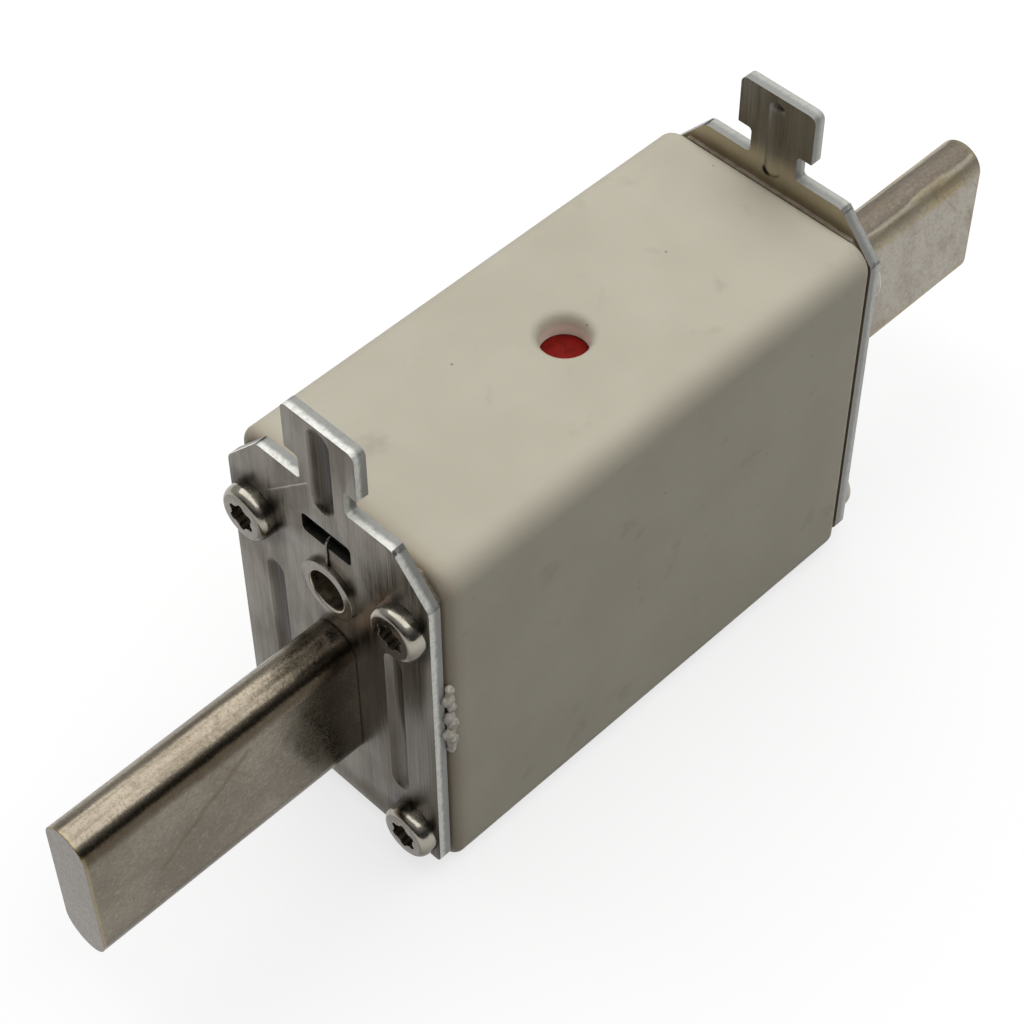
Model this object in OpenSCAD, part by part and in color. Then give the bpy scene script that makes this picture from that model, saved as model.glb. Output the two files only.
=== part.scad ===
// Knife blade fuse link for low-voltage distribution, blades along X, lugs up.
// The origin lies under the middle of the ceramic body, which stands on z = 0.

/* [Ceramic body] */
// Width of the ceramic body
body_w = 29.8; // [29:0.2:33]
// Height of the ceramic body
body_h = 48.6; // [47.6:0.2:53]
// Rounding of the four long edges of the ceramic body
body_r = 3; // [2:0.2:4]
// Rounding of the edges of its two end faces
end_r = 1.1; // [0.6:0.1:1.4]
// Side wall between the arc chamber and the outside
side_wall = 4.5; // [4:0.1:5]
// Floor under the arc chamber
floor_wall = 7.2; // [6.6:0.1:7.6]
// Rounding of the long edges of the arc chamber
chamber_r = 8; // [7:0.5:9]
// Web between the arc chamber and the indicator channel
channel_web = 2; // [1.6:0.1:2.2]
// Ceramic over the indicator channel
channel_roof = 2.7; // [2.4:0.1:3]
// Width of the indicator channel
channel_w = 7.1; // [6.9:0.1:7.5]
// Height of the indicator channel
channel_h = 4.1; // [4:0.1:4.4]

/* [End plates] */
// Distance over the outer faces of the two end plates
plate_span = 66.5; // [65.5:0.5:70.5]
// Thickness of an end plate
plate_t = 1.5; // [1.2:0.1:2]
// Step from the side of the ceramic in to the side of the plate
plate_inset = 0.5; // [0.3:0.1:1]
// Step from the underside of the ceramic up to the plate
plate_foot = 2.4; // [1.6:0.1:2.8]
// Rise of the plate's shoulders over the top of the ceramic
shoulder_rise = 2.4; // [2:0.1:3]
// Width across the shoulders between the two sloped corners
shoulder_w = 19.2; // [18:0.2:21]
// Height of the sloped corners
slope_h = 5.5; // [5:0.1:6]
// Width of the stem that carries the grip lug
stem_w = 6.4; // [6:0.1:7]
// Height of the stem, the gap that the pulling handle grips behind
stem_h = 3.3; // [3:0.1:3.8]
// Width of the grip lug
lug_w = 10.2; // [9.6:0.1:11]
// Height of the grip lug
lug_h = 6.3; // [6:0.1:7]
// Rounding of the corners of the grip lug
lug_r = 0.9; // [0.5:0.1:1.2]
// Rounding of the obtuse corners of the plate
corner_r = 1.5; // [1:0.1:2]
// Width of the groove pressed into the lug and stem
groove_w = 3.2; // [2.8:0.1:3.6]
// Depth of that groove
groove_d = 0.7; // [0.4:0.1:0.8]
// Width of the two upright beads beside the blade
bead_w = 2.6; // [2:0.1:3]
// Depth of the beads
bead_d = 0.5; // [0.2:0.1:0.6]
// Length of the beads
bead_l = 23; // [20:1:25]
// Width of the indicator slot in the front plate
slot_w = 7; // [6.6:0.1:7.2]
// Height of the indicator slot in the front plate
slot_h = 2.6; // [2.4:0.1:3]
// Thickness of the gasket between plate and ceramic
gasket_t = 0.5; // [0.3:0.1:1]

/* [Blades] */
// Length over the ends of the two blades
overall_l = 137; // [133:0.5:141]
// Height of the blade axis over the underside of the ceramic
axis_z = 20.8; // [20.2:0.1:21.4]
// Height of a blade
blade_h = 20; // [19:0.2:21]
// Thickness of a blade, its narrow edges are fully round
blade_t = 6; // [5.6:0.1:6.4]
// Step from the blade in to the tenon that passes through the plate
tenon_step = 0.6; // [0.4:0.1:0.8]
// Width of the collar behind the plate
collar_w = 14; // [13:0.5:15]
// Height of the collar behind the plate
collar_h = 22.4; // [21.6:0.2:22.8]
// Thickness of the collar
collar_t = 2; // [1.6:0.1:2.5]
// Length of the tongue that carries the fuse elements
tongue_l = 8; // [7:0.5:9]
// Thickness of the tongue
tongue_t = 4; // [3.6:0.1:4.4]
// Height of the tongue
tongue_h = 16; // [15.6:0.1:17]

/* [Fuse elements] */
// Thickness of the copper strips
strip_t = 0.35; // [0.25:0.05:0.5]
// Height of the copper strips
strip_h = 15; // [14.5:0.1:15.5]
// Distance from an inner strip to the outer strip beside it
strip_gap = 3.3; // [2.8:0.1:3.6]
// Rows of punched holes in a strip
strip_rows = 5; // [3:1:5]
// Distance from row to row
row_pitch = 6.6; // [6:0.1:6.8]
// Diameter of the punched holes
punch_d = 2.1; // [1.8:0.1:2.3]
// Distance from hole to hole in a row
punch_pitch = 3.2; // [3:0.1:3.4]
// Width of the tin bars that lie across the strips
tin_w = 2.2; // [1.8:0.1:2.6]
// Thickness of the tin bars
tin_t = 0.6; // [0.4:0.1:0.8]

/* [Screws and fill plug] */
// Diameter of a screw's shank
screw_d = 3; // [2.8:0.1:3.2]
// Length of a screw under its head
screw_l = 10; // [8:0.5:12]
// Diameter of a screw head
head_d = 6.5; // [6.1:0.1:6.9]
// Height of a screw head
head_h = 2; // [1.8:0.1:2.2]
// Rounding of the head's rim
head_r = 0.55; // [0.4:0.05:0.7]
// Depth of the six-lobed recess
recess_d = 1.1; // [0.9:0.1:1.3]
// Distance from the side of the plate to a screw
screw_side = 3.6; // [3.5:0.1:3.8]
// Distance from the top of the ceramic down to the upper screws
screw_top = 8.1; // [7.9:0.1:8.3]
// Height of the lower screws over the underside of the ceramic
screw_low = 5.8; // [5.6:0.1:6.2]
// Outer diameter of the fill plug's cup
cup_d = 5.5; // [5.2:0.1:5.7]
// Wall of the cup
cup_wall = 0.3; // [0.2:0.05:0.4]
// Depth of the cup, measured from its flange
cup_l = 7; // [6:0.5:9]
// Diameter of the plug's flange
flange_d = 7.4; // [7:0.1:7.8]
// Thickness of the plug's flange
flange_t = 0.6; // [0.5:0.05:0.8]

/* [Indicator] */
// Diameter of the red indicator button
button_d = 5.2; // [4.8:0.1:5.4]
// Depth of the button's crown under the top of the ceramic
button_drop = 2.4; // [2.3:0.1:2.5]
// Travel of the button when the wire melts
button_travel = 2.8; // [2.4:0.1:2.8]
// Rounding of the mouth of the window over the button
window_r = 1.2; // [0.8:0.1:1.4]
// Thickness of the leaf spring
leaf_t = 0.2; // [0.15:0.05:0.25]
// Width of the leaf spring
leaf_w = 3.6; // [3:0.1:4]
// Length of the leaf spring
leaf_l = 20; // [18:0.5:22]
// Diameter of the trip wire
wire_d = 0.26; // [0.2:0.02:0.3]

/* [Clearances] */
// Running clearance of the button in its window, per side
run_gap = 0.08; // [0.05:0.01:0.1]
// Clearance of the indicator carrier in its channel, per side
carrier_gap = 0.08; // [0.05:0.01:0.1]
// Clearance of pieces that are fitted once, per side
fit_gap = 0.05; // [0.03:0.01:0.08]
// Clearance of a screw in the plate, per side
screw_gap = 0.3; // [0.2:0.05:0.4]

/* [Hidden] */
$fn = 48;
// Faces along the fuse, from the middle outwards
face_x = plate_span / 2;
inner_x = face_x - plate_t;
body_x = inner_x - gasket_t;
tip_x = overall_l / 2;
collar_x = inner_x - collar_t;
tongue_x = collar_x - tongue_l;
// Channel and chamber in the ceramic
channel_top = body_h - channel_roof;
channel_low = channel_top - channel_h;
chamber_top = channel_low - channel_web;
chamber_h = chamber_top - floor_wall;
chamber_w = body_w - 2 * side_wall;
// End plate
plate_w = body_w - 2 * plate_inset;
shoulder_z = body_h + shoulder_rise;
lug_low = shoulder_z + stem_h;
lug_top = lug_low + lug_h;
slope_z = shoulder_z - slope_h;
slot_top = channel_top;
slot_z = slot_top - slot_h / 2;
groove_low = slot_top + 2.5;
groove_top = lug_top - 0.4;
bead_y = plate_w / 4 + blade_t / 4;
bead_low = axis_z - blade_h / 2;
ridge_h = 0.45;
stem_fillet = 0.5;
// Screws and plug
screw_y = plate_w / 2 - screw_side;
screw_rows = [screw_low, body_h - screw_top];
plug_z = chamber_top - cup_d / 2 - fit_gap - 0.05;
lip_r = 0.2;
overlap = 1;
// Fuse elements
strip_end = collar_x - fit_gap;
strip_y = tongue_t / 2;
joggle_x = tongue_x - fit_gap;
tin_x = row_pitch / 2;
// Indicator
carrier_w = channel_w - 2 * carrier_gap;
carrier_low = channel_low + carrier_gap;
carrier_top = channel_top - carrier_gap;
carrier_floor = 0.4;
nose_x = face_x - 1;
leaf_z = carrier_low + carrier_floor;
button_low = leaf_z + leaf_t;
button_top = body_h - button_drop;
stop_gap = 0.1;
rim_t = channel_top - stop_gap - button_travel - button_low;
rim_d = button_d + 0.6;
well_d = rim_d + 0.3;
dome_h = 0.3;
wire_z = slot_z;
wire_bend = 1.1;
carrier_end = leaf_l + 2;

// Helpers: sections are drawn with y across and z up, then run along X.
module along_x(x0, x1) {
    translate([x0, 0, 0])
        rotate([90, 0, 90])
            linear_extrude(x1 - x0)
                children();
}

module rod_x(x0, x1, d, y, z) {
    translate([x0, y, z])
        rotate([0, 90, 0])
            cylinder(h = x1 - x0, d = d);
}

module rounded(w, h, r) {
    square([w - 2 * r, h], center = true);
    square([w, h - 2 * r], center = true);
    for (sy = [-1, 1])
        for (sz = [-1, 1])
            translate([sy * (w / 2 - r), sz * (h / 2 - r)])
                circle(r);
}

module stadium(w, h) {
    square([w, h - w], center = true);
    for (sz = [-1, 1])
        translate([0, sz * (h - w) / 2])
            circle(d = w);
}

// What rounding takes off the corner at p between the sides towards p1 and p2
module corner_cut(p, p1, p2, r) {
    u = (p1 - p) / norm(p1 - p);
    v = (p2 - p) / norm(p2 - p);
    half = acos(u * v) / 2;
    mid = p + (u + v) / norm(u + v) * r / sin(half);
    difference() {
        polygon([p, p + u * r / tan(half), mid, p + v * r / tan(half)]);
        translate(mid)
            circle(r);
    }
}

module corner_fillet(r) {
    difference() {
        square(r);
        translate([r, r])
            circle(r);
    }
}

module at_screws() {
    for (sy = [-1, 1])
        for (z = screw_rows)
            translate([sy * screw_y, z])
                children();
}

module rear() {
    mirror([1, 0, 0])
        children();
}

// Steatite body with arc chamber, indicator channel, window and pilot holes
module body_block() {
    side_h = body_h - 2 * body_r;
    flat_w = body_w - 2 * body_r;
    translate([0, 0, body_r])
        linear_extrude(side_h)
            rounded(2 * body_x, body_w, end_r);
    translate([0, 0, body_h / 2])
        rotate([90, 0, 0])
            linear_extrude(flat_w, center = true)
                rounded(2 * body_x, body_h, end_r);
    for (sy = [-1, 1])
        for (sz = [-1, 1])
            translate([0, sy * flat_w / 2, body_h / 2 + sz * side_h / 2])
                rotate([0, 90, 0])
                    rotate_extrude()
                        body_edge();
}

module body_edge() {
    translate([0, -body_x])
        square([body_r - end_r, 2 * body_x]);
    translate([0, end_r - body_x])
        square([body_r, 2 * (body_x - end_r)]);
    for (side = [-1, 1])
        translate([body_r - end_r, side * (body_x - end_r)])
            circle(end_r);
}

module chamber_section(gap = 0) {
    translate([0, (floor_wall + chamber_top) / 2])
        rounded(chamber_w - 2 * gap, chamber_h - 2 * gap, chamber_r - gap);
}

module round_mouth(bore_r, lip_r) {
    rotate_extrude()
        difference() {
            translate([0, -lip_r])
                square([bore_r + lip_r, lip_r + overlap]);
            translate([bore_r + lip_r, -lip_r])
                circle(lip_r);
        }
}

module ceramic_body() {
    color([0.74, 0.72, 0.66])
        difference() {
            body_block();
            along_x(-face_x, face_x) {
                chamber_section();
                translate([-channel_w / 2, channel_low])
                    square([channel_w, channel_h]);
            }
            translate([0, 0, channel_top - overlap])
                cylinder(h = channel_roof + 2 * overlap, d = button_d + 2 * run_gap);
            translate([0, 0, body_h])
                round_mouth(button_d / 2 + run_gap, window_r);
            pilot_holes();
            rear()
                pilot_holes();
        }
}

module pilot_holes() {
    depth = screw_l - plate_t - gasket_t + 1;
    for (sy = [-1, 1])
        for (z = screw_rows)
            rod_x(-body_x - overlap, -body_x + depth, screw_d + 2 * fit_gap, sy * screw_y, z);
}

// Pressed end plate with its grip lug, the front one is also slotted and has the fill hole
module plate_outline() {
    foot = [plate_w / 2, plate_foot];
    side = [plate_w / 2, slope_z];
    shoulder = [shoulder_w / 2, shoulder_z];
    difference() {
        polygon([for (p = [foot, side, shoulder]) p, for (p = [shoulder, side, foot]) [-p.x, p.y]]);
        for (half = [0, 1])
            mirror([half, 0]) {
                corner_cut(side, foot, shoulder, corner_r);
                corner_cut(shoulder, side, [0, shoulder_z], corner_r);
                corner_cut(foot, side, [0, plate_foot], corner_r / 2);
            }
    }
    translate([-stem_w / 2, shoulder_z - overlap])
        square([stem_w, stem_h + 2 * overlap]);
    translate([0, (lug_low + lug_top) / 2])
        rounded(lug_w, lug_h, lug_r);
    translate([-lug_w / 2, lug_low])
        square([lug_w, lug_h / 2]);
    for (side = [0, 1])
        mirror([side, 0])
            translate([stem_w / 2, 0]) {
                translate([0, shoulder_z])
                    corner_fillet(stem_fillet);
                translate([0, lug_low])
                    mirror([0, 1])
                        corner_fillet(stem_fillet);
            }
}

// A rounded trough along z, w wide and d deep, whose round ends reach from low to high
module trough(w, d, low, high) {
    r = (w * w / 4 + d * d) / (2 * d);
    span = high - low - w;
    translate([d - r, 0, low + w / 2]) {
        cylinder(h = span, r = r);
        sphere(r);
        translate([0, 0, span])
            sphere(r);
    }
}

module end_plate(front) {
    difference() {
        union() {
            along_x(-face_x, -inner_x)
                difference() {
                    plate_outline();
                    translate([0, axis_z])
                        tenon_section(fit_gap);
                    at_screws()
                        circle(d = screw_d + 2 * screw_gap);
                    if (front) {
                        translate([0, plug_z])
                            circle(d = cup_d + 2 * fit_gap);
                        translate([0, slot_z])
                            rounded(slot_w, slot_h, 0.6);
                    }
                }
            intersection() {
                translate([-inner_x - 2 * ridge_h, 0, 0])
                    trough(groove_w, 3 * ridge_h, body_h + 0.4, groove_top);
                translate([-inner_x - plate_t / 2, -groove_w, 0])
                    cube([plate_t, 2 * groove_w, lug_top]);
            }
        }
        translate([-face_x, 0, 0]) {
            trough(groove_w, groove_d, groove_low, groove_top);
            for (sy = [-1, 1])
                translate([0, sy * bead_y, 0])
                    trough(bead_w, bead_d, bead_low, bead_low + bead_l);
        }
    }
}

module end_plate_front() {
    color([0.62, 0.61, 0.59])
        end_plate(true);
}

module end_plate_rear() {
    color([0.58, 0.56, 0.53])
        rear()
            end_plate(false);
}

// Gasket that seals the joint between an end plate and the ceramic
module gasket(front) {
    inset = 0.5;
    top = body_h - inset;
    top_w = shoulder_w + (plate_w - shoulder_w) * (shoulder_z - top) / slope_h;
    along_x(-inner_x, -body_x)
        difference() {
            polygon([
                [-plate_w / 2 + inset, plate_foot + inset], [plate_w / 2 - inset, plate_foot + inset],
                [plate_w / 2 - inset, slope_z], [top_w / 2 - inset, top],
                [-top_w / 2 + inset, top], [-plate_w / 2 + inset, slope_z]
            ]);
            translate([0, axis_z])
                rounded(collar_w + 2 * inset, collar_h + 2 * inset, 2 * inset);
            at_screws()
                circle(d = screw_d + 2 * fit_gap);
            if (front) {
                translate([0, plug_z])
                    circle(d = cup_d + 4 * fit_gap);
                translate([0, slot_z])
                    rounded(slot_w, slot_h, 0.6);
            } else {
                translate([0, wire_z])
                    circle(d = wire_d + 2 * fit_gap);
            }
        }
}

module gasket_front() {
    color([0.36, 0.34, 0.31])
        gasket(true);
}

module gasket_rear() {
    color([0.36, 0.34, 0.31])
        rear()
            gasket(false);
}

// Contact blade with its tenon, collar and the tongue for the fuse elements
module tenon_section(gap = 0) {
    step = 2 * (tenon_step - gap);
    stadium(blade_t - step, blade_h - step);
}

module blade() {
    translate([0, 0, axis_z]) {
        along_x(-tip_x, -face_x)
            stadium(blade_t, blade_h);
        along_x(-face_x - overlap, -collar_x)
            tenon_section();
        along_x(-inner_x, -collar_x)
            rounded(collar_w, collar_h, 1);
        along_x(-collar_x - overlap, -tongue_x)
            square([tongue_t, tongue_h], center = true);
    }
}

module blade_front() {
    color([0.66, 0.62, 0.55])
        blade();
}

module blade_rear() {
    color([0.66, 0.62, 0.55])
        rear()
            blade();
}

// Pan head screw with a six-lobed recess, head towards -X
module screw() {
    rotate([0, -90, 0])
        difference() {
            union() {
                rotate_extrude()
                    union() {
                        square([head_d / 2 - head_r, head_h]);
                        square([head_d / 2, head_h - head_r]);
                        translate([head_d / 2 - head_r, head_h - head_r])
                            circle(head_r);
                    }
                translate([0, 0, -screw_l])
                    cylinder(h = screw_l + head_h / 2, d = screw_d);
            }
            translate([0, 0, head_h - recess_d])
                linear_extrude(recess_d + overlap)
                    six_lobes(head_d * 0.55);
        }
}

module six_lobes(d) {
    circle(d = d * 0.8);
    for (i = [0 : 5])
        rotate(60 * i)
            translate([d * 0.37, 0])
                circle(d = d * 0.26);
}

module screw_set() {
    for (sy = [-1, 1])
        for (z = screw_rows)
            translate([-face_x, sy * screw_y, z])
                screw();
}

module screws_front() {
    color([0.7, 0.69, 0.66])
        screw_set();
}

module screws_rear() {
    color([0.7, 0.69, 0.66])
        rear()
            screw_set();
}

// Flanged cup that closes the hole through which the sand was filled
module fill_plug() {
    bore = cup_d / 2 - cup_wall;
    round = bore * 0.6;
    color([0.6, 0.58, 0.54])
        difference() {
            translate([-face_x - flange_t, 0, plug_z])
                rotate([0, 90, 0])
                    difference() {
                        union() {
                            cylinder(h = flange_t, d = flange_d);
                            cylinder(h = cup_l, d = cup_d);
                        }
                        mirror([0, 0, 1])
                            round_mouth(bore, lip_r);
                        rotate_extrude()
                            union() {
                                translate([0, -overlap])
                                    square([bore, cup_l - cup_wall - round + overlap]);
                                square([bore - round, cup_l - cup_wall]);
                                intersection() {
                                    translate([bore - round, cup_l - cup_wall - round])
                                        circle(round);
                                    square([bore, cup_l]);
                                }
                            }
                    }
            translate([-face_x - wire_d / 2, 0, plug_z + cup_d / 2])
                cylinder(h = flange_d, d = wire_d + fit_gap);
        }
}

// Punched copper strip on the +Y side, away shifts its middle stretch outwards
module strip(away, gap = 0) {
    end_y = strip_y + (away > 0 ? strip_t : 0);
    far = away > 0 ? strip_y + strip_t + away : end_y;
    slope = far - end_y;
    low = end_y - gap;
    high = end_y + strip_t + gap;
    run = [
        [-strip_end, 0], [-joggle_x, 0], [-joggle_x + slope, slope],
        [joggle_x - slope, slope], [joggle_x, 0], [strip_end, 0]
    ];
    back = [for (i = [len(run) - 1 : -1 : 0]) run[i]];
    translate([0, 0, axis_z - strip_h / 2 - gap])
        linear_extrude(strip_h + 2 * gap)
            polygon(concat([for (p = run) p + [0, low]], [for (p = back) p + [0, high]]));
}

module punched_strip(away) {
    holes = floor(strip_h / punch_pitch);
    difference() {
        strip(away);
        for (row = [0 : strip_rows - 1])
            for (hole = [0 : holes])
                translate([
                    (row - (strip_rows - 1) / 2) * row_pitch, 0,
                    axis_z + (hole - holes / 2) * punch_pitch
                ])
                    rotate([-90, 0, 0])
                        cylinder(h = chamber_w / 2, d = punch_d);
    }
}

module mirrored(side) {
    mirror([0, side, 0])
        children();
}

module element_inner_left() {
    color([0.78, 0.47, 0.29])
        punched_strip(0);
}

module element_inner_right() {
    color([0.78, 0.47, 0.29])
        mirrored(1)
            punched_strip(0);
}

module element_outer_left() {
    color([0.78, 0.47, 0.29])
        punched_strip(strip_gap);
}

module element_outer_right() {
    color([0.78, 0.47, 0.29])
        mirrored(1)
            punched_strip(strip_gap);
}

// Tin bars that melt first on a lasting overload
module tin_bars(gap = 0) {
    inner_y = strip_y + strip_t;
    outer_y = inner_y + strip_gap + strip_t;
    color([0.75, 0.75, 0.76])
        for (side = [0, 1])
            mirrored(side)
                for (y = [inner_y, outer_y])
                    translate([tin_x - tin_w / 2 - gap, y, axis_z - strip_h / 2 - gap])
                        cube([tin_w + 2 * gap, tin_t + gap, strip_h + 2 * gap]);
}

// Quartz sand that fills the arc chamber round everything inside it
module quartz_sand() {
    color([0.85, 0.82, 0.74])
        difference() {
            along_x(-body_x + fit_gap, body_x - fit_gap)
                chamber_section(fit_gap);
            for (side = [0, 1])
                mirror([side, 0, 0])
                    translate([0, 0, axis_z]) {
                        along_x(-body_x - overlap, -collar_x + fit_gap)
                            square([collar_w + 2 * fit_gap, collar_h + 2 * fit_gap], center = true);
                        along_x(-collar_x - overlap, -tongue_x + fit_gap)
                            square([tongue_t + 2 * fit_gap, tongue_h + 2 * fit_gap], center = true);
                    }
            rod_x(-body_x - overlap, -face_x - flange_t + cup_l + fit_gap, cup_d + 2 * fit_gap, 0, plug_z);
            for (side = [0, 1])
                mirrored(side) {
                    strip(0, fit_gap);
                    strip(strip_gap, fit_gap);
                }
            tin_bars(fit_gap);
        }
}

// Black carrier that slides into the channel and holds the indicator's parts
module indicator_carrier() {
    dimple_y = slot_w * 0.29;
    dimple_z = slot_z - slot_h * 0.22;
    color([0.09, 0.09, 0.1])
        difference() {
            union() {
                along_x(-body_x, carrier_end)
                    translate([-carrier_w / 2, carrier_low])
                        square([carrier_w, carrier_top - carrier_low]);
                along_x(-nose_x, -body_x + overlap)
                    translate([0, slot_z])
                        square([slot_w - 2 * carrier_gap - 1, slot_h - 2 * carrier_gap], center = true);
                along_x(-nose_x, -body_x + overlap)
                    translate([0, slot_z])
                        square([slot_w - 2 * carrier_gap, slot_h - 2 * carrier_gap - 1], center = true);
            }
            translate([0, 0, leaf_z])
                cylinder(h = channel_h, d = well_d);
            leaf_pocket();
            rod_x(-nose_x - overlap, carrier_end + overlap, wire_d + 4 * fit_gap, 0, wire_z);
            for (sy = [-1, 1])
                rod_x(-nose_x - overlap, -nose_x + overlap, 1.2, sy * dimple_y, dimple_z);
        }
}

module leaf_pocket() {
    hold = 3.5;
    translate([0, -leaf_w / 2 - fit_gap, leaf_z])
        cube([leaf_l - hold, leaf_w + 2 * fit_gap, channel_h]);
    translate([0, -leaf_w / 2 - fit_gap, leaf_z])
        cube([leaf_l + fit_gap, leaf_w + 2 * fit_gap, leaf_t + fit_gap]);
}

// Leaf spring, held flat by the wire, its root is caught at the far end of the carrier
module indicator_leaf() {
    color([0.62, 0.6, 0.55])
        translate([0, 0, leaf_z]) {
            cylinder(h = leaf_t, d = leaf_w);
            translate([0, -leaf_w / 2, 0])
                cube([leaf_l, leaf_w, leaf_t]);
        }
}

// Red button behind the window, its rim keeps it in and the wire passes through it
module indicator_button() {
    ball_r = (button_d * button_d / 4 + dome_h * dome_h) / (2 * dome_h);
    color([0.5, 0.08, 0.07])
        difference() {
            union() {
                translate([0, 0, button_low])
                    cylinder(h = rim_t, d = rim_d);
                intersection() {
                    translate([0, 0, button_low])
                        cylinder(h = button_top - button_low, d = button_d);
                    translate([0, 0, button_top - ball_r])
                        sphere(ball_r);
                }
            }
            rod_x(-rim_d, rim_d, wire_d + 2 * fit_gap, 0, wire_z);
        }
}

// Trip wire, from under the plug's flange over the plate and through the carrier to the button
module trip_wire_front() {
    out_x = -face_x - wire_d / 2;
    clamp_z = plug_z + cup_d / 2 + fit_gap;
    bend_x = out_x + wire_bend;
    color([0.5, 0.48, 0.45]) {
        translate([out_x, 0, clamp_z])
            cylinder(h = wire_z - wire_bend - clamp_z, d = wire_d);
        translate([bend_x, 0, wire_z - wire_bend])
            rotate([90, 0, 180])
                rotate_extrude(angle = 90)
                    translate([wire_bend, 0])
                        circle(d = wire_d);
        rod_x(bend_x, -well_d / 2 - fit_gap, wire_d, 0, wire_z);
    }
}

module trip_wire_link() {
    color([0.5, 0.48, 0.45])
        rod_x(-button_d / 2 + fit_gap, button_d / 2 - fit_gap, wire_d, 0, wire_z);
}

module trip_wire_rear() {
    color([0.5, 0.48, 0.45])
        rod_x(well_d / 2 + fit_gap, inner_x, wire_d, 0, wire_z);
}

ceramic_body();
end_plate_front();
end_plate_rear();
gasket_front();
gasket_rear();
blade_front();
blade_rear();
screws_front();
screws_rear();
fill_plug();
element_inner_left();
element_inner_right();
element_outer_left();
element_outer_right();
tin_bars();
quartz_sand();
indicator_carrier();
indicator_leaf();
indicator_button();
trip_wire_front();
trip_wire_link();
trip_wire_rear();
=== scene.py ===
"""Knife blade fuse link: finishes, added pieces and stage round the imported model."""

import math

import bpy
from mathutils import Matrix, Vector, noise


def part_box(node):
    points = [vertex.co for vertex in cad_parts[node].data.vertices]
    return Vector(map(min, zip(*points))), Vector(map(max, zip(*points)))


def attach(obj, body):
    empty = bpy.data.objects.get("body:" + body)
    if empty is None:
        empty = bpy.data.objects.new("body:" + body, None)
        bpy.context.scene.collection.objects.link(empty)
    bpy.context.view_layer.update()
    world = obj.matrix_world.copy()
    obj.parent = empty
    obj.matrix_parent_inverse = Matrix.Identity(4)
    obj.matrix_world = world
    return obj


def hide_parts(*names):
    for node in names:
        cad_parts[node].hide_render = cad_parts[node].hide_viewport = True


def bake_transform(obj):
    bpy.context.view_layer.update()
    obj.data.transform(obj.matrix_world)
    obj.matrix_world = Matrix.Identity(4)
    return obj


bl_info = {
    "name": "Knife blade fuse link",
    "version": (1, 0, 0),
    "blender": (4, 5, 0),
    "location": "3D View > Sidebar > Fuse link",
    "description": "Finishes and stage for a low-voltage knife blade fuse link",
    "category": "Object",
}

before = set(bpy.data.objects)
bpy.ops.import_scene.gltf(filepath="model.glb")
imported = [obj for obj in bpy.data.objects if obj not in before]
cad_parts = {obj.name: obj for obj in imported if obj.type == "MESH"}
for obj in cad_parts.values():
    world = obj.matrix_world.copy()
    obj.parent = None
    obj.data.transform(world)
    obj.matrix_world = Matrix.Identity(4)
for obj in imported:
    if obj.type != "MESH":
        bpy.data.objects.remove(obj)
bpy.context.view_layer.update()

MM = 0.001
FACE_X = -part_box("end_plate_front")[0].x
BEAD_Y = 8.7 * MM
SLOT_Z = 44.6 * MM
CERAMIC_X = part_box("ceramic_body")[1].x
CERAMIC_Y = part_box("ceramic_body")[1].y
CERAMIC_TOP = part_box("ceramic_body")[1].z
# A small pit on the inner face of the rear plate.
PIT = (31.75 * MM, 0.64 * MM, 50.01 * MM)
SCREWS_LOW, SCREWS_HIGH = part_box("screws_front")
HEAD_RADIUS = 3.25 * MM
# The solid's rounding of a screw head, and the width and height of the one that a pan head has.
SOLID_ROUNDING, PAN_WIDE, PAN_TALL = 0.55 * MM, 0.8 * MM, 1.2 * MM
SCREW_RECESS_RADIUS = 1.9 * MM
PLUG_BORE_RADIUS = 2.62 * MM
# Axes of the screws: y, and middle and half step of z.
SCREW_AXES = (
    SCREWS_HIGH.y - HEAD_RADIUS,
    (SCREWS_LOW.z + SCREWS_HIGH.z) / 2,
    (SCREWS_HIGH.z - SCREWS_LOW.z) / 2 - HEAD_RADIUS,
)
BLADE_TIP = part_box("blade_rear")[1].x
BLADE_AXIS_Z = (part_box("blade_rear")[0].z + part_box("blade_rear")[1].z) / 2
# Middle of each cement lump along x and z from the joint and the blade axis, then its radii, in millimetres.
CEMENT_LUMPS = (
    (0.3, 11.0, 0.55, 0.8),
    (0.1, 9.6, 0.8, 0.9),
    (0.5, 8.2, 0.5, 0.8),
    (0.2, 6.6, 0.7, 0.9),
    (0.6, 5.2, 0.75, 0.8),
    (0.1, 3.9, 0.9, 0.8),
    (0.5, 2.4, 0.8, 1.0),
    (0.3, 1.2, 0.5, 0.6),
)
CRUMB_SIZE, CRUMB_HEIGHT = 0.5 * MM, 0.14 * MM

# The photograph's view: bearing, height and roll in degrees, and how far the aim is off the blades' middle.
CAMERA_ANGLES = (45.224, 49.994, -0.469)
AIM_ASIDE, AIM_BELOW = 5.520 * MM, 0.191 * MM
FOCAL_PIXELS, FRAME_PIXELS, SENSOR_MM = 2576.08, 1024, 36
# The softbox: the way to it from the blades, its distance and sides in metres, and its watts.
LAMP_WAY, LAMP_DISTANCE = (0.2, 0.1, 0.97), 1.1
LAMP_ACROSS, LAMP_ALONG, LAMP_POWER = 1.45, 2.3, 16.6
FLOOR_GLOW = 0.72
WHITE = (1.0, 1.0, 1.0, 1.0)

# Settings of shader nodes.
PLUS = {"operation": "ADD"}
MINUS = {"operation": "SUBTRACT"}
TIMES = {"operation": "MULTIPLY"}
UNSIGNED = {"operation": "ABSOLUTE"}
SMOOTH = {"interpolation_type": "SMOOTHSTEP"}
COLOUR = {"data_type": "RGBA"}


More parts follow.
